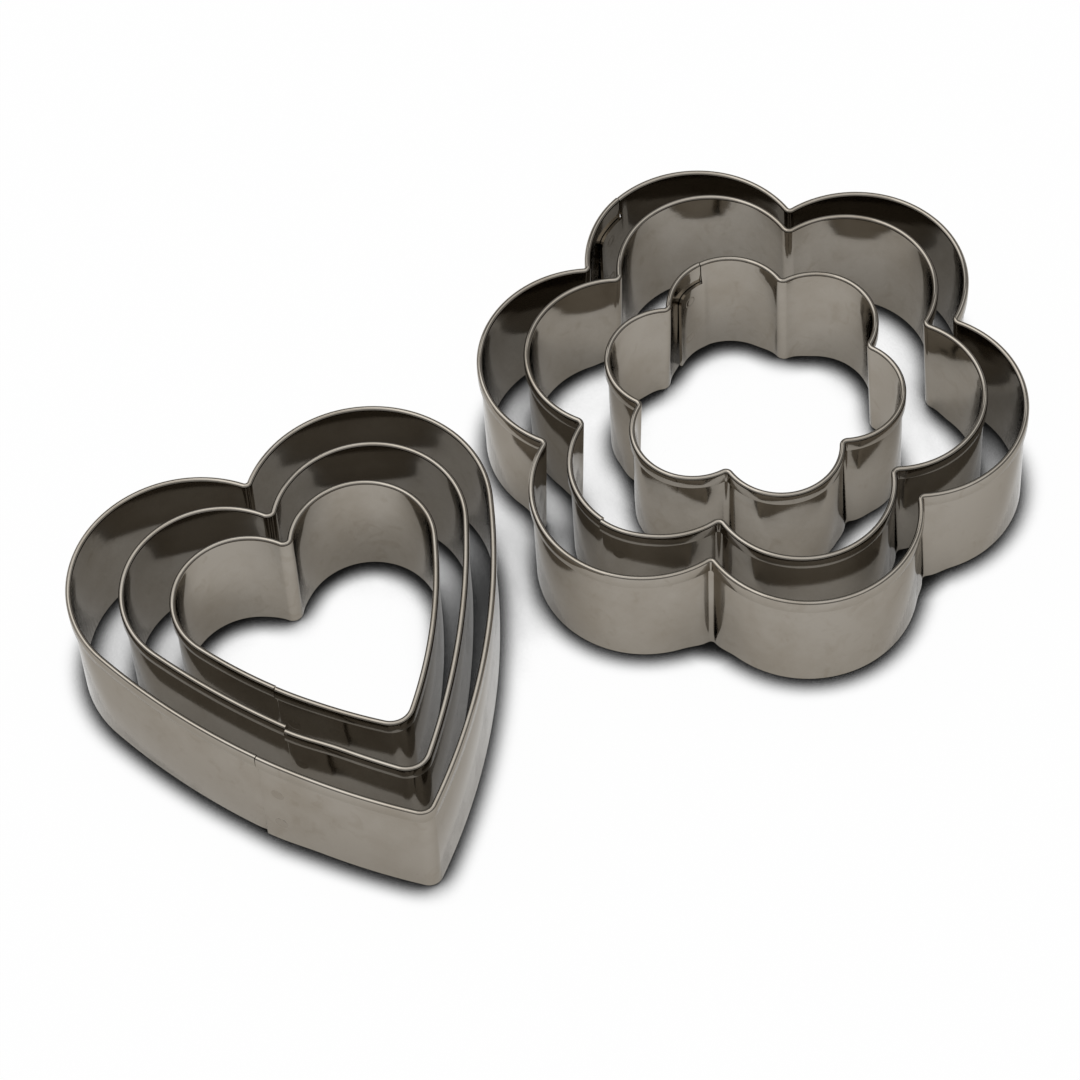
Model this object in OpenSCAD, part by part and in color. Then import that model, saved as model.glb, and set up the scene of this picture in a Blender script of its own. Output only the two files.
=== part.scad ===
// Set of six nesting cookie cutters: three hearts and three six-petal flowers.
// Each cutter is one strip of sheet steel, bent to its outline, with a folded
// rim, and closed by a lap seam that two spot welds hold.
// Sizes are in millimetres. The cutting edges lie on z = 0 and the rims are up.
// Every outline is the outer face of the plain wall.

/* [Sheet] */
// Thickness of the sheet steel
sheet_t = 0.4; // [0.3:0.05:0.5]
// Height of the walls, from the cutting edge to the top of the rim
wall_h = 20; // [16:0.5:30]

/* [Folded rim] */
// Height of the fold that hangs outside the wall under the rim
hem_h = 2.2; // [1.5:0.1:4]
// Space between the wall and the fold
hem_gap = 0.05; // [0.03:0.01:0.08]

/* [Lap seam] */
// Opening between the two ends of the strip at the seam
seam_gap = 0.3; // [0.2:0.05:0.6]
// How far the top of the tab lies below the rim on the hearts
heart_tab_drop = 5.5; // [3:0.5:7]
// How far the top of the tab lies below the rim on the flowers
flower_tab_drop = 4; // [3:0.5:7]
// Space between the tab and the wall that it laps
tab_gap = 0.1; // [0.08:0.01:0.15]
// Length of the bend that steps the tab in from the wall
joggle_l = 1.5; // [1:0.1:2]

/* [Spot welds] */
// Diameter of each spot weld
weld_d = 2; // [1.5:0.1:2.4]
// Height of the lower spot weld's centre
weld_low_z = 4.5; // [3:0.1:6]
// How far the upper spot weld's centre lies below the top of the tab
weld_top_drop = 2.6; // [2:0.1:4]
// How far each spot weld stands out of the sheet
weld_proud = 0.06; // [0.03:0.01:0.1]

/* [Large heart] */
// Radius of the large heart's two lobes
heart_large_lobe_r = 17.5; // [16:0.1:20]
// How far the large heart's lobe circles overlap at the centre line
heart_large_overlap = 4; // [2:0.1:6]
// Length of the large heart, from the lobes' tops to the tip
heart_large_l = 66.6; // [60:0.1:75]
// Radius of the large heart's long sides
heart_large_side_r = 106; // [90:1:160]
// Radius of the large heart's tip
heart_large_tip_r = 2; // [1.5:0.1:5]
// Radius in the notch between the large heart's lobes
heart_large_notch_r = 0.8; // [0.7:0.1:2]
// Height of the large heart's seam above the centre of its tip
heart_large_seam_up = 16.6; // [12:0.1:26]
// Length of the large heart's tab beyond its seam
heart_large_tab_l = 5.2; // [3.2:0.1:8]

/* [Medium heart] */
// How much smaller the medium heart's lobe radius is than the large heart's
heart_medium_lobe_step = 3.8; // [3:0.1:4.5]
// How far the medium heart's lobe circles overlap at the centre line
heart_medium_overlap = 2; // [1:0.1:3]
// How much shorter the medium heart is than the large heart
heart_medium_step = 13.5; // [11:0.1:16]
// Radius of the medium heart's long sides
heart_medium_side_r = 121; // [90:1:160]
// Radius of the medium heart's tip
heart_medium_tip_r = 3.2; // [1.5:0.1:5]
// Radius in the notch between the medium heart's lobes
heart_medium_notch_r = 1; // [0.7:0.1:2]
// Height of the medium heart's seam above the centre of its tip
heart_medium_seam_up = 11.1; // [9:0.1:18]
// Length of the medium heart's tab beyond its seam
heart_medium_tab_l = 3.6; // [3.2:0.1:7]

/* [Small heart] */
// How much smaller the small heart's lobe radius is than the medium heart's
heart_small_lobe_step = 3.5; // [2.8:0.1:4.2]
// How far the small heart's lobe circles overlap at the centre line
heart_small_overlap = 0.9; // [0.5:0.1:2]
// How much shorter the small heart is than the medium heart
heart_small_step = 13.9; // [11:0.1:16]
// Radius of the small heart's long sides
heart_small_side_r = 79; // [60:1:120]
// Radius of the small heart's tip
heart_small_tip_r = 3.1; // [1.5:0.1:5]
// Radius in the notch between the small heart's lobes
heart_small_notch_r = 1; // [0.7:0.1:2]
// Height of the small heart's seam above the centre of its tip
heart_small_seam_up = 10.6; // [9:0.1:14]
// Length of the small heart's tab beyond its seam
heart_small_tab_l = 4.5; // [3.2:0.1:6]

/* [Large flower] */
// Radius of the large flower's six petals
flower_large_petal_r = 15.9; // [14:0.1:18]
// How far the large flower's neighbouring petal circles overlap
flower_large_overlap = 8.1; // [7:0.1:9]
// Radius in the corners between the large flower's petals
flower_large_corner_r = 0.7; // [0.6:0.05:1.5]
// Angle of the large flower's seam from the middle of its petal
flower_large_seam_at = 27; // [-20:1:35]
// Length of the large flower's tab beyond its seam
flower_large_tab_l = 6; // [3.5:0.1:7]

/* [Medium flower] */
// How much smaller the medium flower's petal radius is than the large flower's
flower_medium_petal_step = 2.8; // [2.4:0.1:3.4]
// How far the medium flower's neighbouring petal circles overlap
flower_medium_overlap = 6; // [5.2:0.1:6.8]
// Radius in the corners between the medium flower's petals
flower_medium_corner_r = 0.9; // [0.6:0.05:1.5]
// Angle of the medium flower's seam from the middle of its petal
flower_medium_seam_at = 1.4; // [-20:0.1:35]
// Length of the medium flower's tab beyond its seam
flower_medium_tab_l = 5.2; // [3.5:0.1:7]

/* [Small flower] */
// How much smaller the small flower's petal radius is than the medium flower's
flower_small_petal_step = 4.4; // [3.8:0.1:5]
// How far the small flower's neighbouring petal circles overlap
flower_small_overlap = 4.5; // [3.6:0.1:5.4]
// Radius in the corners between the small flower's petals
flower_small_corner_r = 0.8; // [0.6:0.05:1.5]
// Angle of the small flower's seam from the middle of its petal
flower_small_seam_at = 12.5; // [-20:0.1:20]
// Length of the small flower's tab beyond its seam
flower_small_tab_l = 5; // [3.5:0.1:6]

/* [Places as the cutters lie] */
// Turn of the large heart
heart_turn = 22.3; // [0:0.1:45]
// Turn of the medium heart inside the large heart
heart_medium_turn = 1.2; // [-2:0.1:4]
// Shift of the medium heart's lobes from the large heart's, to the right
heart_medium_x = 1.9; // [1.2:0.1:2.4]
// Shift of the medium heart's lobes from the large heart's, to the front
heart_medium_front = 2; // [1.4:0.1:2.6]
// Turn of the small heart inside the medium heart
heart_small_turn = 2.3; // [-2:0.1:4]
// Shift of the small heart's lobes from the medium heart's, to the right
heart_small_x = 1.3; // [0.7:0.1:1.8]
// Shift of the small heart's lobes from the medium heart's, to the front
heart_small_front = 2.5; // [1.9:0.1:3]
// Gap between the large heart's rim and the large flower's rim
pair_gap = 5; // [2:0.1:12]
// Direction from the large heart's right lobe to the petal that is nearest to it
pair_bearing = 0.9; // [-20:0.1:20]
// Turn of the large flower, to the middle of the petal that has its seam
flower_turn = 104.9; // [100:0.1:110]
// Turn of the medium flower inside the large flower
flower_medium_turn = -0.6; // [-3:0.1:3]
// Shift of the medium flower from the large flower, to the right
flower_medium_x = 0.6; // [0:0.1:1]
// Shift of the medium flower from the large flower, to the back
flower_medium_back = 1.4; // [0:0.1:1.8]
// Turn of the small flower inside the medium flower
flower_small_turn = -2.3; // [-6:0.1:6]
// Shift of the small flower from the medium flower, to the right
flower_small_x = 0; // [-1.5:0.1:1.5]
// Shift of the small flower from the medium flower, to the front
flower_small_front = 0.3; // [-1.5:0.1:1.5]

/* [Hidden] */

$fn = 180;

// Number of petals, and the angle from one petal to the next
petals = 6;
petal_pitch = 360 / petals;

// Number of the medium flower's petal with the seam, counted from the turned one
flower_medium_seam_petal = 2;

// Outer face of the folded rim, measured out from the wall's outer face
rim_out = hem_gap + sheet_t;

// Faces of the tab, measured in from the wall's outer face
tab_outer = sheet_t + tab_gap;
tab_inner = tab_outer + sheet_t;

// Height of the top of the tab above the cutting edge
heart_tab_h = wall_h - heart_tab_drop;
flower_tab_h = wall_h - flower_tab_drop;

// Depth by which circles that meet are run into each other, so that their
// edges cross instead of only touching
cross = 0.002;

// Length that cuts run past what they cut
past = 1;

// Reach of the polygon that limits a heart's two long sides
side_reach = 9;

// A point turned about the origin
function turned(p, a) = [p[0] * cos(a) - p[1] * sin(a), p[0] * sin(a) + p[1] * cos(a)];
function along(a, d) = [d * cos(a), d * sin(a)];
function heading(v) = atan2(v[1], v[0]);

// A heart is [lobe radius, lobe centre from the centre line, tip centre below
// the lobe centres, side radius, tip radius, notch radius, seam above the tip
// centre, tab length]
function heart(lobe_r, overlap, l, side_r, tip_r, notch_r, seam_up, tab_l) =
    [lobe_r, lobe_r - overlap, l - lobe_r - tip_r, side_r, tip_r, notch_r, seam_up, tab_l];
function lobe_at(h) = [h[1], 0];
function tip_at(h) = [0, -h[2]];
function notch_y(h) = sqrt(pow(h[0] + h[5], 2) - pow(h[1], 2));

// Centre of the circle that runs down a heart's right side: it touches the
// right lobe's circle and the tip's circle from outside
function side_centre(h) =
    let (
        gap = norm(lobe_at(h) - tip_at(h)),
        to_lobe = h[3] - h[0],
        to_tip = h[3] - h[4],
        foot = (gap * gap + to_lobe * to_lobe - to_tip * to_tip) / (2 * gap),
        rise = sqrt(to_lobe * to_lobe - foot * foot),
        dir = (tip_at(h) - lobe_at(h)) / gap
    )
    lobe_at(h) + foot * dir + rise * [dir[1], -dir[0]];

// A flower is [petal radius, petal centre from the flower's centre, corner
// radius, petal with the seam, angle of the seam on that petal, tab length]
function flower(petal_r, overlap, corner_r, seam_petal, seam_at, tab_l) =
    [petal_r, 2 * petal_r - overlap, corner_r, seam_petal, seam_at, tab_l];
function corner_from_centre(f) =
    f[1] * cos(petal_pitch / 2) + sqrt(pow(f[0] + f[2], 2) - pow(f[1] * sin(petal_pitch / 2), 2));
function petal_at(f, k) = along(k * petal_pitch, f[1]);

large_heart = heart(heart_large_lobe_r, heart_large_overlap, heart_large_l,
    heart_large_side_r, heart_large_tip_r, heart_large_notch_r, heart_large_seam_up,
    heart_large_tab_l);
heart_medium_lobe_r = heart_large_lobe_r - heart_medium_lobe_step;
heart_medium_l = heart_large_l - heart_medium_step;
medium_heart = heart(heart_medium_lobe_r, heart_medium_overlap, heart_medium_l,
    heart_medium_side_r, heart_medium_tip_r, heart_medium_notch_r, heart_medium_seam_up,
    heart_medium_tab_l);
small_heart = heart(heart_medium_lobe_r - heart_small_lobe_step, heart_small_overlap,
    heart_medium_l - heart_small_step, heart_small_side_r, heart_small_tip_r,
    heart_small_notch_r, heart_small_seam_up, heart_small_tab_l);

large_flower = flower(flower_large_petal_r, flower_large_overlap, flower_large_corner_r,
    0, flower_large_seam_at, flower_large_tab_l);
flower_medium_petal_r = flower_large_petal_r - flower_medium_petal_step;
medium_flower = flower(flower_medium_petal_r, flower_medium_overlap, flower_medium_corner_r,
    flower_medium_seam_petal, flower_medium_seam_at, flower_medium_tab_l);
small_flower = flower(flower_medium_petal_r - flower_small_petal_step, flower_small_overlap,
    flower_small_corner_r, 0, flower_small_seam_at, flower_small_tab_l);

// The large flower's place from the large heart's, along the line from the
// heart's right lobe to the petal that stands nearest to it
near_petal = 2;
lobe_to_petal = large_heart[0] + large_flower[0] + 2 * rim_out + pair_gap;
flower_from_heart = turned(lobe_at(large_heart), heart_turn) + along(pair_bearing, lobe_to_petal)
    - turned(petal_at(large_flower, near_petal), flower_turn);

// Bounds of the whole set with the large heart's lobes centred on the origin.
// The set is then moved so that the middle of these bounds is at the origin.
heart_left = -turned(lobe_at(large_heart), heart_turn)[0] - large_heart[0] - rim_out;
heart_front = turned(tip_at(large_heart), heart_turn)[1] - large_heart[4] - rim_out;
petal_places = [for (k = [0:petals - 1]) turned(petal_at(large_flower, k), flower_turn)];
flower_right = flower_from_heart[0] + max([for (p = petal_places) p[0]]) + large_flower[0] + rim_out;
flower_back = flower_from_heart[1] + max([for (p = petal_places) p[1]]) + large_flower[0] + rim_out;

large_heart_at = -[heart_left + flower_right, heart_front + flower_back] / 2;
medium_heart_at = large_heart_at + [heart_medium_x, -heart_medium_front];
small_heart_at = medium_heart_at + [heart_small_x, -heart_small_front];
medium_heart_turn = heart_turn + heart_medium_turn;
small_heart_turn = medium_heart_turn + heart_small_turn;

large_flower_at = large_heart_at + flower_from_heart;
medium_flower_at = large_flower_at + [flower_medium_x, flower_medium_back];
small_flower_at = medium_flower_at + [flower_small_x, -flower_small_front];
medium_flower_turn = flower_turn + flower_medium_turn;
small_flower_turn = medium_flower_turn + flower_small_turn;

// Circle that a heart's seam lies on: its centre, and the angle of the seam.
// The seam is on the left side, so the right side's centre is mirrored.
function heart_seam_centre(h) = [-side_centre(h)[0], side_centre(h)[1]];
function heart_seam_angle(h) = 180 - asin((h[6] - h[2] - side_centre(h)[1]) / h[3]);

// A heart's outline, moved out from the wall's outer face by off
module heart_outline(h, off) {
    side_at = side_centre(h);
    tip_side = tip_at(h) + along(heading(tip_at(h) - side_at), side_reach);
    lobe_side = lobe_at(h) + along(heading(lobe_at(h) - side_at), h[0] + side_reach);
    difference() {
        union() {
            for (side = [-1, 1])
                translate([side * h[1], 0]) circle(r = h[0] + off);
            translate(tip_at(h)) circle(r = h[4] + off);
            intersection() {
                translate(side_at) circle(r = h[3] + off - cross);
                translate([-side_at[0], side_at[1]]) circle(r = h[3] + off - cross);
                polygon([
                    [0, notch_y(h)], lobe_at(h), lobe_side, tip_side, tip_at(h),
                    [-tip_side[0], tip_side[1]], [-lobe_side[0], lobe_side[1]], -lobe_at(h)
                ]);
            }
        }
        translate([0, notch_y(h)]) circle(r = h[5] - off + cross);
    }
}

// A flower's outline, moved out from the wall's outer face by off
module flower_outline(f, off) {
    corner = corner_from_centre(f);
    difference() {
        union() {
            for (k = [0:petals - 1])
                translate(petal_at(f, k)) circle(r = f[0] + off);
            polygon([for (k = [0:petals - 1])
                for (p = [petal_at(f, k), along((k + 0.5) * petal_pitch, corner)]) p]);
        }
        for (k = [0:petals - 1])
            translate(along((k + 0.5) * petal_pitch, corner)) circle(r = f[2] - off + cross);
    }
}

// The strip's section followed round an outline: the plain wall, the top of the
// fold and the hanging fold outside. The children are the outline moved out by
// 0, in by the sheet, out to the fold's outer face and out to its inner face.
module folded_wall() {
    linear_extrude(wall_h) difference() {
        children(0);
        children(1);
    }
    translate([0, 0, wall_h - sheet_t]) linear_extrude(sheet_t) difference() {
        children(2);
        children(1);
    }
    translate([0, 0, wall_h - hem_h]) linear_extrude(hem_h) difference() {
        children(2);
        children(3);
    }
}

// The tab at the end of the strip: it steps in from the wall before the seam and
// runs on inside it. The seam is at angle 0 of a circle of radius r.
module tab(r, tab_l, tab_h) {
    step_from = -joggle_l / r * 180 / PI;
    step_to = -seam_gap / r * 180 / PI;
    tab_from = 0.6 * step_from;
    tab_to = (tab_l + seam_gap) / r * 180 / PI;
    tab_middle = r - tab_outer - sheet_t / 2;
    linear_extrude(tab_h) {
        intersection() {
            difference() {
                circle(r = r - tab_outer);
                circle(r = r - tab_inner);
            }
            polygon([
                along(tab_from, r - tab_inner - past),
                along(tab_from, r - tab_outer + past),
                along(tab_to, r - tab_outer + past),
                along(tab_to, r - tab_inner - past)
            ]);
        }
        polygon([
            along(step_from, r - sheet_t / 2),
            along(0.4 * step_from, tab_middle),
            along(step_to, tab_middle),
            along(step_to, r - sheet_t / 2)
        ]);
    }
}

// Opening between the strip's two ends, through the wall and the fold
module seam_cut(r) {
    translate([r - sheet_t - tab_gap / 2, 0, -past])
        cube([tab_gap / 2 + sheet_t + rim_out + past, seam_gap, wall_h + 2 * past]);
}

// The seam's two spot welds, from inner to outer, as radii about its circle
module weld_pins(r, tab_l, tab_h, inner, outer) {
    turn = (seam_gap + tab_l / 2) / r * 180 / PI;
    for (z = [weld_low_z, tab_h - weld_top_drop])
        rotate([0, 0, turn]) translate([inner, 0, z]) rotate([0, 90, 0])
            cylinder(d = weld_d, h = outer - inner, $fn = 48);
}

module welds(r, tab_l, tab_h) {
    weld_pins(r, tab_l, tab_h, r - tab_inner - weld_proud, r + weld_proud);
}

module weld_holes(r, tab_l, tab_h) {
    weld_pins(r, tab_l, tab_h, r - tab_inner - past, r + past);
}

module heart_strip(h) {
    seam_r = h[3];
    difference() {
        union() {
            difference() {
                folded_wall() {
                    heart_outline(h, 0);
                    heart_outline(h, -sheet_t);
                    heart_outline(h, rim_out);
                    heart_outline(h, hem_gap);
                }
                at_heart_seam(h) seam_cut(seam_r);
            }
            at_heart_seam(h) tab(seam_r, h[7], heart_tab_h);
        }
        at_heart_seam(h) weld_holes(seam_r, h[7], heart_tab_h);
    }
}

module heart_welds(h) {
    at_heart_seam(h) welds(h[3], h[7], heart_tab_h);
}

module at_heart_seam(h) {
    translate(heart_seam_centre(h)) rotate([0, 0, heart_seam_angle(h)]) children();
}

module flower_strip(f) {
    seam_r = f[0];
    difference() {
        union() {
            difference() {
                folded_wall() {
                    flower_outline(f, 0);
                    flower_outline(f, -sheet_t);
                    flower_outline(f, rim_out);
                    flower_outline(f, hem_gap);
                }
                at_flower_seam(f) seam_cut(seam_r);
            }
            at_flower_seam(f) tab(seam_r, f[5], flower_tab_h);
        }
        at_flower_seam(f) weld_holes(seam_r, f[5], flower_tab_h);
    }
}

module flower_welds(f) {
    at_flower_seam(f) welds(f[0], f[5], flower_tab_h);
}

module at_flower_seam(f) {
    translate(petal_at(f, f[3])) rotate([0, 0, f[3] * petal_pitch + f[4]]) children();
}

module large_heart_strip() {
    color("#a39b90") translate(large_heart_at) rotate([0, 0, heart_turn])
        heart_strip(large_heart);
}

module large_heart_spot_welds() {
    color("#6f6a62") translate(large_heart_at) rotate([0, 0, heart_turn])
        heart_welds(large_heart);
}

module medium_heart_strip() {
    color("#a39b90") translate(medium_heart_at) rotate([0, 0, medium_heart_turn])
        heart_strip(medium_heart);
}

module medium_heart_spot_welds() {
    color("#6f6a62") translate(medium_heart_at) rotate([0, 0, medium_heart_turn])
        heart_welds(medium_heart);
}

module small_heart_strip() {
    color("#a39b90") translate(small_heart_at) rotate([0, 0, small_heart_turn])
        heart_strip(small_heart);
}

module small_heart_spot_welds() {
    color("#6f6a62") translate(small_heart_at) rotate([0, 0, small_heart_turn])
        heart_welds(small_heart);
}

module large_flower_strip() {
    color("#a39b90") translate(large_flower_at) rotate([0, 0, flower_turn])
        flower_strip(large_flower);
}

module large_flower_spot_welds() {
    color("#6f6a62") translate(large_flower_at) rotate([0, 0, flower_turn])
        flower_welds(large_flower);
}

module medium_flower_strip() {
    color("#a39b90") translate(medium_flower_at) rotate([0, 0, medium_flower_turn])
        flower_strip(medium_flower);
}

module medium_flower_spot_welds() {
    color("#6f6a62") translate(medium_flower_at) rotate([0, 0, medium_flower_turn])
        flower_welds(medium_flower);
}

module small_flower_strip() {
    color("#a39b90") translate(small_flower_at) rotate([0, 0, small_flower_turn])
        flower_strip(small_flower);
}

module small_flower_spot_welds() {
    color("#6f6a62") translate(small_flower_at) rotate([0, 0, small_flower_turn])
        flower_welds(small_flower);
}

large_heart_strip();
large_heart_spot_welds();
medium_heart_strip();
medium_heart_spot_welds();
small_heart_strip();
small_heart_spot_welds();
large_flower_strip();
large_flower_spot_welds();
medium_flower_strip();
medium_flower_spot_welds();
small_flower_strip();
small_flower_spot_welds();
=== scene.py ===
import math

import bmesh
import bpy
from bpy.props import FloatProperty, FloatVectorProperty, IntProperty, PointerProperty
from mathutils import Matrix, Vector


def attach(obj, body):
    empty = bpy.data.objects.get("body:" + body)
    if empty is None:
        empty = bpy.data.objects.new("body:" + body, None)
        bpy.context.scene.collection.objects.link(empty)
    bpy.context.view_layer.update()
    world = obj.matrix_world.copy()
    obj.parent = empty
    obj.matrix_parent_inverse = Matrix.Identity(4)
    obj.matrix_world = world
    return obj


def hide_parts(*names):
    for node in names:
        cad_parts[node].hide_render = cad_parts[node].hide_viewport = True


bl_info = {
    "name": "Nesting cookie cutters",
    "version": (1, 0, 0),
    "blender": (4, 5, 0),
    "location": "View3D > Sidebar > Cutters",
    "description": "Bends heart and flower cutters from strip steel and sets them on a pale floor",
    "category": "Add Mesh",
}

MM = 0.001
UP = Vector((0, 0, 1))
# Distance within which two points count as one
SAME_PLACE = 1e-6

# Longest step along an arc, largest turn of a step, and fewest steps
ARC_STEP = 0.9 * MM
ARC_TURN = math.radians(3)
ARC_STEPS = 6
# Steps of the bend over the tuck and over the tab
TUCK_STEPS = 6
TAB_STEPS = 24
# Straight steps that round the top of the fold and the sheet's cut edges
FOLD_SEGMENTS = 10
EDGE_SEGMENTS = 2
# Height of the narrow band of wall below the fold
FOLD_BAND = 0.2 * MM
# Share of the bare wall between fold and tab over which the tab's end sinks to its full depth
SINK_SHARE = 0.8
# Share of the tab's corner that its last step still rounds
CORNER_SHARE = 0.85
# Angle from which an edge between two faces stays sharp
SHARP = math.radians(38)
# Straight sides of a spot weld
WELD_SIDES = 48
# Rings inside each cap of a spot weld: width as a share of its radius, fall as one of the dimple
WELD_RINGS = ((0.12, 0.0), (0.3, 0.0), (0.15, 0.3), (0.15, 0.5), (0.12, 0.2))
# Places of the two lamps
SOFTBOX_AT = (-0.5, 0.3, 0.81)
OVERHEAD_AT = (0, 0, 1.5)

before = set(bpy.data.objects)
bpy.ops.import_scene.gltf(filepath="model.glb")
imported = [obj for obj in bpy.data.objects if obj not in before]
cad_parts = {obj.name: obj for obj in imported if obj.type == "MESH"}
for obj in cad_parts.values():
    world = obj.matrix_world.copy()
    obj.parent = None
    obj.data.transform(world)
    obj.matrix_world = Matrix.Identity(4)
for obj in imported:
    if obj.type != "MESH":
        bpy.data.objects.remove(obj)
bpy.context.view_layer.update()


# Settings


def length(name, description, mm, low=0.0, high=500.0):
    return FloatProperty(
        name=name, description=description, default=mm * MM, min=low * MM, max=high * MM,
        precision=5, unit="LENGTH", subtype="DISTANCE",
    )


def angle(name, description, degrees):
    return FloatProperty(
        name=name, description=description, default=math.radians(degrees),
        min=-2 * math.pi, max=2 * math.pi, unit="ROTATION", subtype="ANGLE",
    )


def colour(name, description, value):
    return FloatVectorProperty(
        name=name, description=description, default=value, size=3, min=0, max=1, subtype="COLOR",
    )


def factor(name, description, value, high=1.0):
    return FloatProperty(name=name, description=description, default=value, min=0, max=high)


class CutterSheet(bpy.types.PropertyGroup):
    """Sizes that every cutter's strip shares"""

    thickness: length("Sheet thickness", "Thickness of the sheet steel", 0.4)
    height: length("Height", "Height of the walls, from the cutting edge to the rim", 20)
    hem: length("Fold height", "Height of the fold that hangs outside the wall", 2.2)
    hem_gap: length("Fold gap", "Space between the wall and the fold", 0.05)
    edge: length("Edge rounding", "Rounding of the sheet's cut edges", 0.07)
    tab_gap: length("Lap gap", "Space between the tab and the wall that it laps", 0.1)
    tab_corner: length("Tab corner", "Radius of the tab's upper corner", 1.4)
    lap_run: length("Lap run", "Length over which the outer end eases back to the outline", 9)
    end_round: length("End rounding", "Rounding of the outer end's upright edge", 0.14)
    lean_run: length("Lean run", "Distance from an inward corner within which the wall leans", 5)
    tuck: length(
        "Tuck", "Length before the seam over which the tab sinks behind the outer end", 1.5)
    weld: length("Weld diameter", "Diameter of each spot weld", 2)
    weld_low: length("Lower weld", "Height of the lower spot weld's centre", 4.5)
    weld_drop: length(
        "Upper weld", "Depth of the upper spot weld's centre below the tab's top", 2.6)
    weld_proud: length("Weld rise", "How far each spot weld stands out of the sheet", 0.006)
    weld_dimple: length("Weld dimple", "Depth of each spot weld's inner dimple", 0.08)


def place(x, y, turn, seam_gap, rim_step, foot_step, lean):
    """Settings of every cutter: where it stands, how its seam sits and how its corners lean"""
    return {
        "seam_gap": length("Seam gap", "Opening between the two ends of the strip", seam_gap),
        "lean": length(
            "Corner lean", "How far the foot of each inward corner lies outside its rim", lean),
        "rim_step": length(
            "Rim step", "How far the strip's outer end stands out at the rim", rim_step),
        "foot_step": length(
            "Foot step", "How far the strip's outer end stands out at the floor", foot_step),
        "x": length("X", "Place of the outline's centre, to the right", x, -500),
        "y": length("Y", "Place of the outline's centre, to the back", y, -500),
        "turn": angle("Turn", "Turn of the outline about the vertical", turn),
    }


def heart_group(name, lobe, overlap, size, side, tip, notch, seam, tab, **placed):
    """A property group with one heart's sizes"""
    fields = {
        "lobe": length("Lobe radius", "Radius of the two lobes", lobe),
        "overlap": length("Lobe overlap", "How far the lobe circles overlap", overlap),
        "size": length("Length", "Length from the lobes' tops to the tip", size),
        "side": length("Side radius", "Radius of the long sides", side),
        "tip": length("Tip radius", "Radius of the tip", tip),
        "notch": length("Notch radius", "Radius between the lobes", notch),
        "seam": length("Seam height", "Height of the seam above the tip's centre", seam),
        "tab": length("Tab length", "Length of the tab beyond the seam", tab),
        "tab_drop": length("Tab drop", "How far the top of the tab lies below the rim", 5.5),
    }
    fields.update(place(**placed))
    return type(name, (bpy.types.PropertyGroup,), {"__annotations__": fields})


def flower_group(name, petal, overlap, corner, seam_petal, seam, tab, **placed):
    """A property group with one flower's sizes"""
    fields = {
        "petal": length("Petal radius", "Radius of the petals", petal),
        "overlap": length("Petal overlap", "How far neighbouring petal circles overlap", overlap),
        "corner": length("Corner radius", "Radius in the corners between petals", corner),
        "petals": IntProperty(name="Petals", description="Number of petals", default=6, min=3),
        "seam_petal": IntProperty(
            name="Seam petal", description="Petal with the seam, counted from the turned one",
            default=seam_petal, min=0,
        ),
        "seam": angle("Seam angle", "Angle of the seam from the middle of its petal", seam),
        "tab": length("Tab length", "Length of the tab beyond the seam", tab),
        "tab_drop": length("Tab drop", "How far the top of the tab lies below the rim", 4),
    }
    fields.update(place(**placed))
    return type(name, (bpy.types.PropertyGroup,), {"__annotations__": fields})


LargeHeart = heart_group(
    "LargeHeart", lobe=17.5, overlap=4, size=66.6, side=106, tip=2, notch=0.8, seam=16.6, tab=5.2,
    x=-38.682, y=-7.847, turn=22.3, seam_gap=0.15, rim_step=0.05, foot_step=0.4, lean=0.4)
MediumHeart = heart_group(
    "MediumHeart", lobe=13.7, overlap=2, size=53.1, side=121, tip=3.2, notch=1, seam=11.1, tab=3.6,
    x=-36.782, y=-9.847, turn=23.5, seam_gap=0.25, rim_step=0.6, foot_step=0.5, lean=0.4)
SmallHeart = heart_group(
    "SmallHeart", lobe=10.2, overlap=0.9, size=39.2, side=79, tip=3.1, notch=1, seam=10.6, tab=4.5,
    x=-35.482, y=-12.347, turn=25.8, seam_gap=0.2, rim_step=0.1, foot_step=0.4, lean=0.4)
LargeFlower = flower_group(
    "LargeFlower", petal=15.9, overlap=8.1, corner=0.7, seam_petal=0, seam=27, tab=6,
    x=29.891, y=14.622, turn=104.9, seam_gap=0.03, rim_step=0.12, foot_step=0.4, lean=0.9)
MediumFlower = flower_group(
    "MediumFlower", petal=13.1, overlap=6, corner=0.9, seam_petal=2, seam=1.4, tab=5.2,
    x=30.491, y=16.022, turn=104.3, seam_gap=0.15, rim_step=0.3, foot_step=0.4, lean=0.9)
SmallFlower = flower_group(
    "SmallFlower", petal=8.7, overlap=4.5, corner=0.8, seam_petal=0, seam=12.5, tab=5,
    x=30.491, y=15.722, turn=102, seam_gap=0.12, rim_step=0.1, foot_step=0.4, lean=0.8)


class CutterFinish(bpy.types.PropertyGroup):
    """Colours and finish of the metal"""

    steel: colour("Steel", "Reflected colour of the strip steel", (0.345, 0.316, 0.275))
    smudge: colour(
        "Smudges", "Reflected colour where fingers and water left marks", (0.25, 0.216, 0.172))
    weld: colour("Weld", "Reflected colour of the spot welds", (0.3, 0.272, 0.235))
    tint: colour("Edge tint", "Tint of the metal seen at a low angle", (0.62, 0.6, 0.57))
    roughness: factor("Roughness", "Roughness of the steel where it is cleanest", 0.07)


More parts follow.
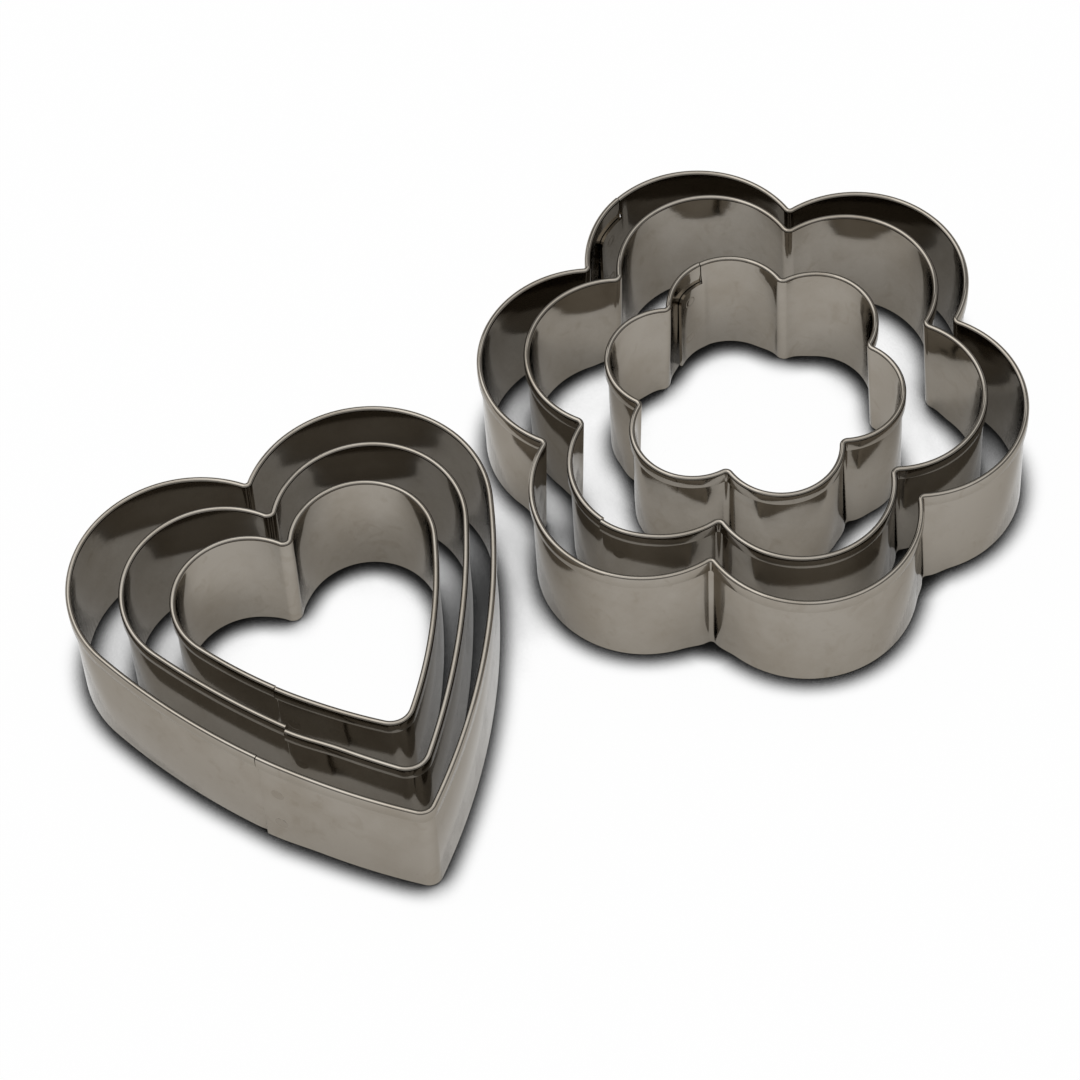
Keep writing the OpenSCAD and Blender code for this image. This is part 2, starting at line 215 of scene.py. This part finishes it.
class CutterStage(bpy.types.PropertyGroup):
    """Floor, lamps and camera"""

    floor: colour("Floor", "Colour of the floor", (0.9, 0.9, 0.9))
    white: factor("White", "Share of plain white in the floor that the camera sees", 0.98)
    mirrored: factor(
        "Mirrored white", "Share of plain white in the floor that shows in metal and glass", 0.78)
    contact: length("Contact shadow", "How far walls shade the floor that the camera sees", 4.2)
    lean: factor("Shadow lean", "How far the contact shadow leans to the front", 0.25)
    gap_shade: length("Gap shade", "How far the walls of a narrow gap shade its floor", 12)
    shade: length("Shade", "How far walls shade the floor that shows in the metal", 20)
    world: factor("World", "Strength of the light from all round", 0.32, 5)
    softbox: factor(
        "Softbox", "Power of the lamp above, behind and to the left, in watts", 2.6, 200)
    softbox_size: length("Softbox size", "Side of the square lamp", 1000, 10, 5000)
    overhead: factor("Overhead", "Power of the wide lamp straight above, in watts", 13, 200)
    overhead_size: length("Overhead size", "Side of the wide lamp", 2200, 10, 9000)
    distance: length(
        "Camera distance", "Distance from the camera to the floor point it looks at", 689, 0, 5000)
    aim_x: length("Aim X", "Floor point in the middle of the picture, to the right", -2.065, -500)
    aim_y: length("Aim Y", "Floor point in the middle of the picture, to the back", 3.172, -500)
    elevation: angle("Elevation", "Height of the camera above the floor, as an angle", 55.8)
    roll: angle("Roll", "Roll of the camera", -4.22)
    lens: FloatProperty(
        name="Lens", description="Focal length on a 36 mm sensor", default=157.5, unit="CAMERA")


# Outlines, as arcs that follow one another counterclockwise from the seam


class Arc:
    """Part of a circle that the wall's outer face follows"""

    def __init__(self, centre, radius, start, sweep):
        self.centre = Vector((centre[0], centre[1], 0))
        self.radius = radius
        self.start = start
        self.sweep = sweep

    def out(self):
        """Direction out of the cutter at the arc's start"""
        side = 1 if self.sweep > 0 else -1
        return Vector((math.cos(self.start), math.sin(self.start), 0)) * side

    def begin(self):
        """Point at the arc's start"""
        return self.centre + Vector((math.cos(self.start), math.sin(self.start), 0)) * self.radius

    def steps(self):
        """Number of straight steps that stand for the arc"""
        by_turn = abs(self.sweep) / ARC_TURN
        by_length = abs(self.sweep) * self.radius / ARC_STEP
        return max(ARC_STEPS, math.ceil(max(by_turn, by_length)))


def heading(v):
    """Angle of a direction about the vertical, from the X axis"""
    return math.atan2(v[1], v[0])


def fade(share):
    """A smooth fall from 1 to 0 while the share goes from 0 to 1"""
    return 0.5 * (1 + math.cos(math.pi * share))


def heart_arcs(heart):
    """Arcs of a heart's outline, and the circle that its seam lies on"""
    lobe = Vector((heart.lobe - heart.overlap, 0))
    tip = Vector((0, heart.lobe + heart.tip - heart.size))
    notch = Vector((0, math.sqrt((heart.lobe + heart.notch) ** 2 - lobe.x ** 2)))
    gap = (lobe - tip).length
    to_lobe = heart.side - heart.lobe
    to_tip = heart.side - heart.tip
    foot = (gap ** 2 + to_lobe ** 2 - to_tip ** 2) / (2 * gap)
    rise = math.sqrt(to_lobe ** 2 - foot ** 2)
    down = (tip - lobe).normalized()
    right = lobe + foot * down + rise * Vector((down.y, -down.x))
    left = Vector((-right.x, right.y))
    seam = math.pi - math.asin((heart.seam + tip.y - right.y) / heart.side)
    begin = seam + heart.seam_gap / heart.side
    tip_left = math.pi - heading(tip - right)
    tip_right = 2 * math.pi + heading(tip - right)
    lobe_right = heading(lobe - right)
    top_right = heading(notch - lobe)
    arcs = [
        Arc(left, heart.side, begin, tip_left - begin),
        Arc(tip, heart.tip, tip_left, tip_right - tip_left),
        Arc(right, heart.side, tip_right, lobe_right + 2 * math.pi - tip_right),
        Arc(lobe, heart.lobe, lobe_right, top_right - lobe_right),
        Arc(notch, heart.notch, top_right + math.pi, math.pi - 2 * top_right),
        Arc(-lobe, heart.lobe, math.pi - top_right, top_right - lobe_right),
        Arc(left, heart.side, math.pi - lobe_right, seam - math.pi + lobe_right),
    ]
    return arcs, Arc(left, heart.side, seam, 1)


def flower_arcs(flower):
    """Arcs of a flower's outline, and the circle that its seam lies on"""
    pitch = 2 * math.pi / flower.petals
    reach = 2 * flower.petal - flower.overlap
    half = pitch / 2
    corner = reach * math.cos(half) + math.sqrt(
        (flower.petal + flower.corner) ** 2 - (reach * math.sin(half)) ** 2)
    edge = math.atan2(corner * math.sin(half), corner * math.cos(half) - reach)

    def petal(k, start, sweep):
        return Arc((reach * math.cos(k * pitch), reach * math.sin(k * pitch)), flower.petal,
                   k * pitch + start, sweep)

    first = flower.seam_petal
    begin = flower.seam + flower.seam_gap / flower.petal
    arcs = [petal(first, begin, edge - begin)]
    for k in range(first, first + flower.petals):
        middle = (k + 0.5) * pitch
        arcs.append(Arc((corner * math.cos(middle), corner * math.sin(middle)), flower.corner,
                        k * pitch + edge + math.pi, pitch - 2 * edge))
        last = k == first + flower.petals - 1
        arcs.append(petal(k + 1, -edge, flower.seam + edge if last else 2 * edge))
    return arcs, petal(first, flower.seam, 1)


# Strips


def lap_lift(along, z, cutter, sheet):
    """How far the strip's outer end stands out of the outline, at a distance past the seam"""
    if along >= sheet.lap_run:
        return 0.0
    step = cutter.foot_step + (cutter.rim_step - cutter.foot_step) * z / sheet.height
    return fade(max(along, 0) / sheet.lap_run) * step


def tab_sink(along, z, cutter, sheet):
    """How far the lapped end lies inside the outline, from before the seam to the tab's end"""
    by_run = fade(min(max(-along / sheet.tuck, 0), 1))
    fold_foot = sheet.height - sheet.hem
    sink_height = (cutter.tab_drop - sheet.hem) * SINK_SHARE
    by_height = min(max((fold_foot - z) / sink_height, 0), 1)
    full = sheet.thickness + sheet.tab_gap - lap_lift(along, z, cutter, sheet)
    return by_run * by_height * full


def folded_section(bm, arc, cutter, sheet):
    """The strip's section at an arc's start: the wall, the rounded fold and the hanging hem"""
    t = sheet.thickness
    rim = sheet.hem_gap + t
    top = sheet.height
    tab = top - cutter.tab_drop
    hem = top - sheet.hem
    foot = hem - FOLD_BAND
    corners = [
        (-t, 0), (0, 0), (0, tab), (0, foot), (0, top - t), (sheet.hem_gap, top - t),
        (sheet.hem_gap, hem), (rim, hem), (rim, top), (-t, top), (-t, foot), (-t, tab),
    ]
    origin = arc.begin()
    out = arc.out()
    verts = [bm.verts.new(origin + out * d + UP * z) for d, z in corners]
    bm.faces.new(verts)
    # The two roundings of the fold stay just short of meeting
    fold = 0.999 * (t + rim) / 2
    cut = [verts[i] for i in (0, 1, 6, 7)]
    for rounded, radius, segments in (
            ([verts[8], verts[9]], fold, FOLD_SEGMENTS), (cut, sheet.edge, EDGE_SEGMENTS)):
        bmesh.ops.bevel(
            bm, geom=rounded, affect="VERTICES", offset=radius, offset_type="OFFSET",
            segments=segments, profile=0.5, material=-1, clamp_overlap=False)
    bm.faces.ensure_lookup_table()
    return list(bm.faces[0].edges)


def ring_verts(edges):
    """The vertices of some edges, each once"""
    return list({v for e in edges for v in e.verts})


def bend_on(bm, ring, centre, turn, steps=1):
    """Carries the section on round a bend, and gives the edges of the section at its end"""
    moved = bmesh.ops.spin(
        bm, geom=ring + ring_verts(ring), cent=centre, axis=UP, angle=turn, steps=steps,
        use_merge=False, use_normal_flip=False, use_duplicate=False)
    return [g for g in moved["geom_last"] if isinstance(g, bmesh.types.BMEdge)]


def add_tab(bm, ring, seam, cutter, sheet):
    """Carries the lower part of the wall on inside the lap, down to the tab's rounded end"""
    tab_top = sheet.height - cutter.tab_drop
    low = [e for e in ring if all(v.co.z <= tab_top + SAME_PLACE for v in e.verts)]
    high = [e for e in ring if e not in low]
    ends = [v for v in ring_verts(low) if v.co.z > tab_top - SAME_PLACE]
    across = bm.edges.new(ends)
    bmesh.ops.contextual_create(bm, geom=high + [across])
    ring = low + [across]
    reach = cutter.tab + cutter.seam_gap
    for i in range(TAB_STEPS):
        ring = bend_on(bm, ring, seam.centre, reach / TAB_STEPS / seam.radius)
        past = reach * (i + 1) / TAB_STEPS - (reach - sheet.tab_corner)
        if past > 0:
            drop = sheet.tab_corner - math.sqrt(max(sheet.tab_corner ** 2 - past ** 2, 0))
            for v in sorted(ring_verts(ring), key=lambda v: -v.co.z)[:2]:
                v.co.z = tab_top - min(drop, sheet.tab_corner * CORNER_SHARE)
    return ring


def shift_outward(verts, seam, amount):
    """Moves vertices out of the outline by an amount that depends on their place past the seam"""
    for v in verts:
        flat = Vector((v.co.x - seam.centre.x, v.co.y - seam.centre.y, 0))
        past = (heading(flat) - seam.start + math.pi) % (2 * math.pi) - math.pi
        v.co += flat.normalized() * amount(past * seam.radius, v.co.z)


def lean_corners(verts, arcs, cutter, sheet):
    """Lets the wall lean outward below the rim at each inward corner, where the fold draws it in"""
    for arc in arcs:
        if arc.sweep > 0:
            continue
        middle = arc.start + arc.sweep / 2
        corner = arc.centre + Vector((math.cos(middle), math.sin(middle), 0)) * arc.radius
        outward = corner.normalized()
        for v in verts:
            away = (Vector((v.co.x, v.co.y, 0)) - corner).length / sheet.lean_run
            if away < 1:
                v.co += outward * cutter.lean * fade(away) * (1 - v.co.z / sheet.height)


def bend_strip(name, arcs, seam, cutter, sheet):
    """One cutter's strip: its section goes round every arc of the outline and on into the tab"""
    bm = bmesh.new()
    ring = folded_section(bm, arcs[0], cutter, sheet)
    begin = arcs[0].begin()
    end_edges = [
        e for e in ring if all((v.co - UP * v.co.z - begin).length < SAME_PLACE for v in e.verts)]
    for arc in arcs[:-1]:
        ring = bend_on(bm, ring, arc.centre, arc.sweep, arc.steps())
        if arc is arcs[0]:
            lifted = set(bm.verts)
    last = arcs[-1]
    tuck = sheet.tuck / last.radius
    ring = bend_on(bm, ring, last.centre, last.sweep - tuck, last.steps())
    before = set(bm.verts) - set(ring_verts(ring))
    ring = bend_on(bm, ring, last.centre, tuck, TUCK_STEPS)
    ring = add_tab(bm, ring, seam, cutter, sheet)
    bmesh.ops.contextual_create(bm, geom=ring)
    shift_outward(lifted, seam, lambda along, z: lap_lift(along, z, cutter, sheet))
    lapped = set(bm.verts) - before
    shift_outward(lapped, seam, lambda along, z: -tab_sink(along, z, cutter, sheet))
    lean_corners(bm.verts, arcs, cutter, sheet)
    bmesh.ops.bevel(
        bm, geom=end_edges, affect="EDGES", offset=sheet.end_round, offset_type="OFFSET",
        segments=EDGE_SEGMENTS, profile=0.5, material=-1, clamp_overlap=False)
    # The end faces become triangles, without empty ones, so that the mesh stays closed
    ends = [f for f in bm.faces if len(f.verts) > 4]
    cut = bmesh.ops.triangulate(bm, faces=ends, quad_method="BEAUTY", ngon_method="BEAUTY")["faces"]
    edges = list({e for f in cut for e in f.edges})
    bmesh.ops.dissolve_degenerate(bm, dist=SAME_PLACE, edges=edges)
    bmesh.ops.recalc_face_normals(bm, faces=bm.faces)
    return finish_piece(bm, name, (cutter.x, cutter.y, cutter.turn))


def finish_piece(bm, name, where):
    """Sets a mesh in its cutter's place, smooths it between sharp edges and links it"""
    for e in bm.edges:
        if len(e.link_faces) == 2:
            e.smooth = e.calc_face_angle(0) < SHARP
    for f in bm.faces:
        f.smooth = True
    x, y, turn = where
    moved = Matrix.Translation((x, y, 0)) @ Matrix.Rotation(turn, 4, "Z")
    bmesh.ops.transform(bm, verts=bm.verts, matrix=moved)
    mesh = bpy.data.meshes.new(name)
    bm.to_mesh(mesh)
    bm.free()
    piece = bpy.data.objects.new(name, mesh)
    bpy.context.scene.collection.objects.link(piece)
    return piece


def weld_marks(name, seam, cutter, sheet):
    """The two spot welds of a seam: dimpled discs through both layers of the lap"""
    bm = bmesh.new()
    inner = -2 * sheet.thickness - sheet.tab_gap - sheet.weld_proud
    outer = sheet.weld_proud
    middle_depth = (inner + outer) / 2
    middle = cutter.seam_gap + cutter.tab / 2
    tab_top = sheet.height - cutter.tab_drop
    radius = sheet.weld / 2
    for z in (sheet.weld_low, tab_top - sheet.weld_drop):
        stand = Matrix.Translation((middle, middle_depth, z)) @ Matrix.Rotation(math.pi / 2, 4, "X")
        disc = bmesh.ops.create_cone(
            bm, cap_ends=True, segments=WELD_SIDES, radius1=radius, radius2=radius,
            depth=outer - inner, matrix=stand)["verts"]
        caps = [f for f in {f for v in disc for f in v.link_faces} if len(f.verts) > 4]
        for cap in caps:
            dimple = sheet.weld_dimple if cap.calc_center_median().y < middle_depth else 0.0
            for width, sink in WELD_RINGS:
                bmesh.ops.inset_individual(
                    bm, faces=[cap], thickness=width * radius, depth=-sink * dimple,
                    use_even_offset=True)
        edges = {e for v in disc for e in v.link_edges if all(w in disc for w in e.verts)}
        rims = [e for e in edges if abs(e.verts[0].co.y - e.verts[1].co.y) < 1e-9]
        bmesh.ops.bevel(
            bm, geom=rims, affect="EDGES", offset=sheet.weld_proud * 0.9, offset_type="OFFSET",
            segments=EDGE_SEGMENTS, profile=0.5, material=-1, clamp_overlap=True)
    for v in bm.verts:
        along, depth, z = v.co
        turn = seam.start + along / seam.radius
        reach = seam.radius + depth + lap_lift(along, z, cutter, sheet)
        v.co = seam.centre + Vector((math.cos(turn) * reach, math.sin(turn) * reach, z))
    bmesh.ops.reverse_faces(bm, faces=bm.faces)
    return finish_piece(bm, name, (cutter.x, cutter.y, cutter.turn))


# Finishes


def node_of(tree, kind, place_at, **settings):
    """A node of a kind, set at a place, with the values that its inputs and options take"""
    made = tree.nodes.new(kind)
    made.location = place_at
    for key, value in settings.items():
        if key in made.inputs:
            made.inputs[key].default_value = value
        else:
            setattr(made, key, value)
    return made


def scaled_noise(tree, source, scale, place_at, **settings):
    """Noise stretched along the axes, read at a piece's own coordinates"""
    mapping = node_of(tree, "ShaderNodeMapping", place_at)
    mapping.inputs["Scale"].default_value = scale
    tree.links.new(source, mapping.inputs["Vector"])
    noise = node_of(tree, "ShaderNodeTexNoise", (place_at[0] + 200, place_at[1]), **settings)
    tree.links.new(mapping.outputs["Vector"], noise.inputs["Vector"])
    return noise.outputs["Fac"]


def spread(tree, source, low, high, place_at, to_low=0.0, to_high=1.0):
    """A value stretched from one range to another and held inside it"""
    ranged = node_of(tree, "ShaderNodeMapRange", place_at, clamp=True)
    limits = {"From Min": low, "From Max": high, "To Min": to_low, "To Max": to_high}
    for key, value in limits.items():
        ranged.inputs[key].default_value = value
    tree.links.new(source, ranged.inputs["Value"])
    return ranged.outputs["Result"]


def rolled_marks_group():
    """Marks that rolled sheet carries: fine lines along it, smudges, stains and slight waves"""
    tree = bpy.data.node_groups.new("Rolled sheet marks", "ShaderNodeTree")
    for name in ("Grain", "Smudge", "Waves"):
        socket = tree.interface.new_socket(name, in_out="INPUT", socket_type="NodeSocketFloat")
        socket.default_value = 1.0
    for name in ("Smudge", "Roughness", "Height"):
        tree.interface.new_socket(name, in_out="OUTPUT", socket_type="NodeSocketFloat")
    given = node_of(tree, "NodeGroupInput", (-1200, -200))
    put = node_of(tree, "NodeGroupOutput", (1000, 0))
    where = node_of(tree, "ShaderNodeTexCoord", (-1200, 200)).outputs["Object"]
    lines = scaled_noise(tree, where, (60, 60, 9000), (-900, 500), Scale=1.0, Detail=4.0)
    blotches = scaled_noise(
        tree, where, (90, 90, 70), (-900, 250), Scale=1.0, Detail=6.0, Roughness=0.62)
    stains = scaled_noise(
        tree, where, (310, 310, 240), (-900, 0), Scale=1.0, Detail=3.0, Distortion=1.2)
    waves = scaled_noise(tree, where, (70, 70, 35), (-900, -250), Scale=1.0, Detail=1.0)

    def math_node(kind, a, b, place_at):
        made = node_of(tree, "ShaderNodeMath", place_at, operation=kind)
        for socket, value in zip(made.inputs, (a, b)):
            if isinstance(value, (int, float)):
                socket.default_value = value
            else:
                tree.links.new(value, socket)
        return made.outputs["Value"]

    broad = spread(tree, blotches, 0.42, 0.7, (-400, 250))
    spots = spread(tree, stains, 0.58, 0.7, (-400, 0))
    both = math_node("ADD", math_node("MULTIPLY", broad, 0.7, (-150, 250)),
                     math_node("MULTIPLY", spots, 0.3, (-150, 50)), (50, 200))
    smudge = math_node("MULTIPLY", both, given.outputs["Smudge"], (250, 200))
    tree.links.new(smudge, put.inputs["Smudge"])
    fine = spread(tree, lines, 0.35, 0.65, (-400, 500), -1, 1)
    rough = math_node("ADD", math_node("MULTIPLY", both, 0.06, (250, 50)),
                      math_node("MULTIPLY", fine, 0.01, (250, -100)), (450, 0))
    tree.links.new(rough, put.inputs["Roughness"])
    scratched = math_node("MULTIPLY", fine, 0.0003, (50, 500))
    grain = math_node("MULTIPLY", scratched, given.outputs["Grain"], (250, 450))
    swell = math_node("MULTIPLY", waves, given.outputs["Waves"], (250, -300))
    tree.links.new(math_node("ADD", grain, swell, (600, 300)), put.inputs["Height"])
    return tree


def metal(name, marks, base, marked, tint, roughness, grain, smudge, waves):
    """Metal with the rolled sheet's marks, between a clean colour and a marked one"""
    material = bpy.data.materials.new(name)
    material.use_nodes = True
    tree = material.node_tree
    shader = tree.nodes["Principled BSDF"]
    shader.inputs["Metallic"].default_value = 1.0
    shader.inputs["Specular Tint"].default_value = (*tint, 1)
    made = node_of(tree, "ShaderNodeGroup", (-700, 0))
    made.node_tree = marks
    made.inputs["Grain"].default_value = grain
    made.inputs["Smudge"].default_value = smudge
    made.inputs["Waves"].default_value = waves
    mix = node_of(tree, "ShaderNodeMix", (-300, 200), data_type="RGBA")
    for socket in mix.inputs:
        if socket.type == "RGBA" and socket.name == "A":
            socket.default_value = (*base, 1)
        if socket.type == "RGBA" and socket.name == "B":
            socket.default_value = (*marked, 1)
    tree.links.new(made.outputs["Smudge"], mix.inputs[0])
    result = [o for o in mix.outputs if o.type == "RGBA"][0]
    tree.links.new(result, shader.inputs["Base Color"])
    rough = node_of(tree, "ShaderNodeMath", (-300, 0), operation="ADD", use_clamp=True)
    rough.inputs[1].default_value = roughness
    tree.links.new(made.outputs["Roughness"], rough.inputs[0])
    tree.links.new(rough.outputs[0], shader.inputs["Roughness"])
    bump = node_of(tree, "ShaderNodeBump", (-300, -200), Strength=1.0, Distance=0.001)
    tree.links.new(made.outputs["Height"], bump.inputs["Height"])
    tree.links.new(bump.outputs["Normal"], shader.inputs["Normal"])
    return material


def shared(name, make):
    """The material or node group of a name, made on its first use"""
    for store in (bpy.data.materials, bpy.data.node_groups):
        if name in store:
            return store[name]
    return make(name)


def rolled_marks():
    """The group of marks that both steels share"""
    return shared("Rolled sheet marks", lambda _: rolled_marks_group())


def strip_steel():
    """The bare steel of the strips"""
    finish = bpy.context.scene.cutter_finish
    return shared("Strip steel", lambda name: metal(
        name, rolled_marks(), finish.steel, finish.smudge, finish.tint, finish.roughness,
        grain=1.0, smudge=0.8, waves=0.05))


def weld_steel():
    """The duller steel of the spot welds"""
    finish = bpy.context.scene.cutter_finish
    return shared("Weld steel", lambda name: metal(
        name, rolled_marks(), finish.weld, finish.smudge, finish.tint, finish.roughness + 0.05,
        grain=0.5, smudge=1.0, waves=0.05))


# Cutters


def make_cutter(body, arcs, seam, cutter):
    """One cutter: its strip and its spot welds, in place of the solids of the same names"""
    sheet = bpy.context.scene.cutter_sheet
    strip = bend_strip(body + "_bent_strip", arcs, seam, cutter, sheet)
    strip.data.materials.append(strip_steel())
    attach(strip, body)
    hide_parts(body + "_strip")
    welds = weld_marks(body + "_weld_marks", seam, cutter, sheet)
    welds.data.materials.append(weld_steel())
    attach(welds, body)
    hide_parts(body + "_spot_welds")


class CUTTER_OT_hearts(bpy.types.Operator):
    """Bend the nesting heart cutters"""

    bl_idname = "cutter.hearts"
    bl_label = "Heart cutters"

    def execute(self, context):
        for body in ("large_heart", "medium_heart", "small_heart"):
            heart = getattr(context.scene, body)
            make_cutter(body, *heart_arcs(heart), heart)
        return {"FINISHED"}


class CUTTER_OT_flowers(bpy.types.Operator):
    """Bend the nesting flower cutters"""

    bl_idname = "cutter.flowers"
    bl_label = "Flower cutters"

    def execute(self, context):
        for body in ("large_flower", "medium_flower", "small_flower"):
            flower = getattr(context.scene, body)
            make_cutter(body, *flower_arcs(flower), flower)
        return {"FINISHED"}


# Stage


def floor_material(stage):
    """Pale floor, white to the camera and the metal, with painted shade only close to what stands
    on it
    """
    material = bpy.data.materials.new("Pale floor")
    material.use_nodes = True
    tree = material.node_tree
    tree.nodes.clear()
    put = node_of(tree, "ShaderNodeOutputMaterial", (600, 0))
    diffuse = node_of(tree, "ShaderNodeBsdfDiffuse", (0, 100), Color=(*stage.floor, 1))
    path = node_of(tree, "ShaderNodeLightPath", (-1200, 0))

    def by_sight(camera, metal, place_at):
        """One value for what the camera sees and another for what shows in the metal"""
        ranged = node_of(tree, "ShaderNodeMapRange", place_at)
        ranged.inputs["To Min"].default_value = metal
        ranged.inputs["To Max"].default_value = camera
        tree.links.new(path.outputs["Is Camera Ray"], ranged.inputs["Value"])
        return ranged.outputs["Result"]

    # Ambient occlusion darkens the white glow near the walls. The camera sees this as a painted
    # contact shadow, and the metal shows it as painted shade in the reflected floor. Only the small
    # diffuse share carries the lamps' real shadow.
    normal = node_of(tree, "ShaderNodeNewGeometry", (-1200, -300)).outputs["Normal"]
    leaned = node_of(tree, "ShaderNodeVectorMath", (-900, -50), operation="ADD")
    leaned.inputs[1].default_value = (0, stage.lean, 0)
    tree.links.new(normal, leaned.inputs[0])
    near = node_of(tree, "ShaderNodeAmbientOcclusion", (-600, -300), samples=14)
    tree.links.new(leaned.outputs[0], near.inputs["Normal"])
    reach = by_sight(stage.contact, stage.shade, (-900, -200))
    tree.links.new(reach, near.inputs["Distance"])
    fall = node_of(tree, "ShaderNodeMapRange", (-400, -300), interpolation_type="SMOOTHSTEP")
    dark_below = by_sight(camera=0.45, metal=0.02, place_at=(-900, -450))
    white_above = by_sight(camera=0.96, metal=0.45, place_at=(-900, -700))
    darkest = by_sight(camera=0, metal=0.2, place_at=(-900, -950))
    tree.links.new(dark_below, fall.inputs["From Min"])
    tree.links.new(white_above, fall.inputs["From Max"])
    tree.links.new(darkest, fall.inputs["To Min"])
    tree.links.new(near.outputs["AO"], fall.inputs["Value"])
    # A wider occlusion darkens the glow on the floor of narrow gaps: painted gap shade, seen by the
    # camera only
    wide = node_of(
        tree, "ShaderNodeAmbientOcclusion", (-600, -700), samples=8, Distance=stage.gap_shade)
    deep = node_of(tree, "ShaderNodeMapRange", (-400, -700), interpolation_type="SMOOTHSTEP")
    deep.inputs["From Min"].default_value = 0.3
    deep.inputs["From Max"].default_value = 0.55
    deepest = by_sight(camera=0.4, metal=1, place_at=(-900, -1200))
    tree.links.new(deepest, deep.inputs["To Min"])
    tree.links.new(wide.outputs["AO"], deep.inputs["Value"])
    both = node_of(tree, "ShaderNodeMath", (-200, -300), operation="MULTIPLY")
    tree.links.new(fall.outputs["Result"], both.inputs[0])
    tree.links.new(deep.outputs["Result"], both.inputs[1])
    # The floor's white glow, with the painted shadow and painted gap shade in its strength
    white = node_of(tree, "ShaderNodeEmission", (0, -100), Color=(1, 1, 1, 1))
    tree.links.new(both.outputs[0], white.inputs["Strength"])
    either = node_of(tree, "ShaderNodeMath", (-600, 100), operation="MAXIMUM")
    tree.links.new(path.outputs["Is Glossy Ray"], either.inputs[0])
    tree.links.new(path.outputs["Is Transmission Ray"], either.inputs[1])
    mirrored = node_of(tree, "ShaderNodeMath", (-400, 100), operation="MULTIPLY")
    mirrored.inputs[1].default_value = stage.mirrored
    tree.links.new(either.outputs[0], mirrored.inputs[0])
    share = node_of(tree, "ShaderNodeMath", (-200, 100), operation="MULTIPLY_ADD")
    share.inputs[1].default_value = stage.white
    tree.links.new(path.outputs["Is Camera Ray"], share.inputs[0])
    tree.links.new(mirrored.outputs[0], share.inputs[2])
    mix = node_of(tree, "ShaderNodeMixShader", (300, 0))
    tree.links.new(share.outputs[0], mix.inputs[0])
    tree.links.new(diffuse.outputs[0], mix.inputs[1])
    tree.links.new(white.outputs[0], mix.inputs[2])
    tree.links.new(mix.outputs[0], put.inputs["Surface"])
    return material


def area_lamp(name, place_at, size, power):
    """A square lamp that faces the middle of the floor"""
    light = bpy.data.lights.new(name, "AREA")
    light.size = size
    light.energy = power
    lamp = bpy.data.objects.new(name, light)
    lamp.location = place_at
    lamp.rotation_euler = (-Vector(place_at)).to_track_quat("-Z", "Y").to_euler()
    bpy.context.scene.collection.objects.link(lamp)


class CUTTER_OT_stage(bpy.types.Operator):
    """Set the floor, the lamps and the camera"""

    bl_idname = "cutter.stage"
    bl_label = "Stage"

    def execute(self, context):
        scene = context.scene
        stage = scene.cutter_stage
        bm = bmesh.new()
        bmesh.ops.create_grid(bm, x_segments=2, y_segments=2, size=2.0)
        mesh = bpy.data.meshes.new("floor")
        bm.to_mesh(mesh)
        bm.free()
        floor = bpy.data.objects.new("floor", mesh)
        scene.collection.objects.link(floor)
        mesh.materials.append(floor_material(stage))

        world = bpy.data.worlds.new("Soft room")
        scene.world = world
        world.use_nodes = True
        sky = world.node_tree.nodes["Background"]
        sky.inputs["Color"].default_value = (1, 1, 1, 1)
        sky.inputs["Strength"].default_value = stage.world
        area_lamp("softbox", SOFTBOX_AT, stage.softbox_size, stage.softbox)
        area_lamp("overhead", OVERHEAD_AT, stage.overhead_size, stage.overhead)

        camera_data = bpy.data.cameras.new("camera")
        camera = bpy.data.objects.new("camera", camera_data)
        camera_data.lens = stage.lens
        camera_data.sensor_width = 36
        camera_data.clip_start = 0.01
        camera_data.clip_end = 20
        forward = Vector((0, math.cos(stage.elevation), -math.sin(stage.elevation)))
        right = Vector((1, 0, 0))
        upward = right.cross(forward)
        c, s = math.cos(stage.roll), math.sin(stage.roll)
        right, upward = c * right + s * upward, c * upward - s * right
        stand = Vector((stage.aim_x, stage.aim_y, 0)) - forward * stage.distance
        turned = Matrix((right, upward, -forward)).transposed().to_4x4()
        camera.matrix_world = Matrix.Translation(stand) @ turned
        scene.collection.objects.link(camera)
        scene.camera = camera
        scene.view_settings.view_transform = "Standard"
        return {"FINISHED"}


class CUTTER_PT_panel(bpy.types.Panel):
    """Lists the steps that make the set"""

    bl_idname = "CUTTER_PT_panel"
    bl_label = "Cutters"
    bl_space_type = "VIEW_3D"
    bl_region_type = "UI"
    bl_category = "Cutters"

    def draw(self, context):
        for operator in STEPS:
            self.layout.operator(operator.bl_idname)


STEPS = (CUTTER_OT_hearts, CUTTER_OT_flowers, CUTTER_OT_stage)
GROUPS = {
    "cutter_sheet": CutterSheet,
    "large_heart": LargeHeart,
    "medium_heart": MediumHeart,
    "small_heart": SmallHeart,
    "large_flower": LargeFlower,
    "medium_flower": MediumFlower,
    "small_flower": SmallFlower,
    "cutter_finish": CutterFinish,
    "cutter_stage": CutterStage,
}


def register():
    for name, group in GROUPS.items():
        bpy.utils.register_class(group)
        setattr(bpy.types.Scene, name, PointerProperty(type=group))
    for operator in STEPS:
        bpy.utils.register_class(operator)
    bpy.utils.register_class(CUTTER_PT_panel)


def unregister():
    bpy.utils.unregister_class(CUTTER_PT_panel)
    for operator in reversed(STEPS):
        bpy.utils.unregister_class(operator)
    for name, group in reversed(GROUPS.items()):
        delattr(bpy.types.Scene, name)
        bpy.utils.unregister_class(group)


def main():
    register()
    bpy.ops.cutter.hearts()
    bpy.ops.cutter.flowers()
    bpy.ops.cutter.stage()


if __name__ == "__main__":
    main()
